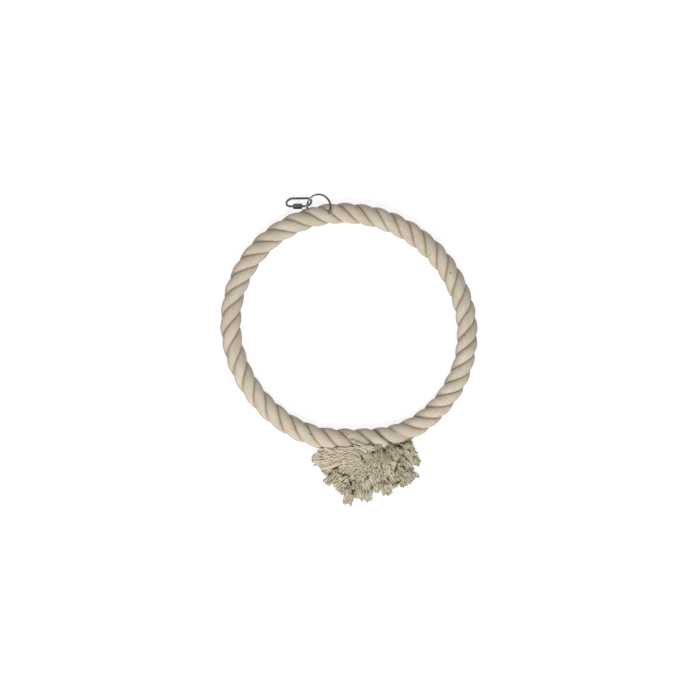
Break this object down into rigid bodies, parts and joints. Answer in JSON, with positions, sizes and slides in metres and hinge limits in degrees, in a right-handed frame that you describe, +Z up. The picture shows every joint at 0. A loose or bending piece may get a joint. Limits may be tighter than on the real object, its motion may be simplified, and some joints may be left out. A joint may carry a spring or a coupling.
{
  "type": "rope ring bird toy",
  "caption": "Hanging perch ring of laid natural cotton rope with a frayed tassel, a steel ring through the lay and a screw-sleeve quick link to hang it from a cage bar.",
  "frame": {"origin": "on the floor under the middle of the outline, with the toy lying flat", "axes": "+Z up from the floor, square to the ring; +Y from the tassel toward the hanging ring; +X to the right"},
  "size_m": [0.3058, 0.3777, 0.0235],
  "materials": {
    "cotton_rope": "undyed laid cotton, matt, with fine yarn lines and a few brown specks",
    "cotton_yarn": "undyed cotton yarn, combed open and fluffy at the ends",
    "ring_steel": "nickel-plated round wire, dulled",
    "link_steel": "nickel-plated round wire, dulled",
    "sleeve_steel": "nickel-plated hexagon nut, darkened in handling"
  },
  "bodies": {
    "rope_ring": {"rope_strand_1": "cotton_rope", "rope_strand_2": "cotton_rope", "rope_strand_3": "cotton_rope", "tassel_lock_01": "cotton_yarn", "tassel_lock_02": "cotton_yarn", "tassel_lock_03": "cotton_yarn", "tassel_lock_04": "cotton_yarn", "tassel_lock_05": "cotton_yarn", "tassel_lock_06": "cotton_yarn", "tassel_lock_07": "cotton_yarn", "tassel_lock_08": "cotton_yarn", "tassel_lock_09": "cotton_yarn", "tassel_lock_10": "cotton_yarn", "tassel_lock_11": "cotton_yarn", "tassel_lock_12": "cotton_yarn", "tassel_lock_13": "cotton_yarn", "tassel_lock_14": "cotton_yarn", "tassel_lock_15": "cotton_yarn", "tassel_lock_16": "cotton_yarn", "tassel_lock_17": "cotton_yarn", "tassel_lock_18": "cotton_yarn", "tassel_lock_19": "cotton_yarn"},
    "hanging_ring": {"hanging_ring": "ring_steel"},
    "quick_link": {"quick_link_body": "link_steel"},
    "sleeve": {"quick_link_sleeve": "sleeve_steel"}
  },
  "joints": [
    {"name": "ring_turn", "type": "hinge", "parent": "rope_ring", "child": "hanging_ring", "pos_m": [-0.00495, 0.17065, 0.01698], "axis": [-0.357, -0.0312, 0.9336], "range_deg": [-110, 0]},
    {"name": "link_swing", "type": "hinge", "parent": "hanging_ring", "child": "quick_link", "pos_m": [-0.01684, 0.17864, 0.0127], "axis": [0, 1, 0], "range_deg": [0, 120]},
    {"name": "sleeve_slide", "type": "slide", "parent": "quick_link", "child": "sleeve", "axis": [0.9335, -0.1984, 0.2987], "range_m": [0, 0.0036]}
  ]
}
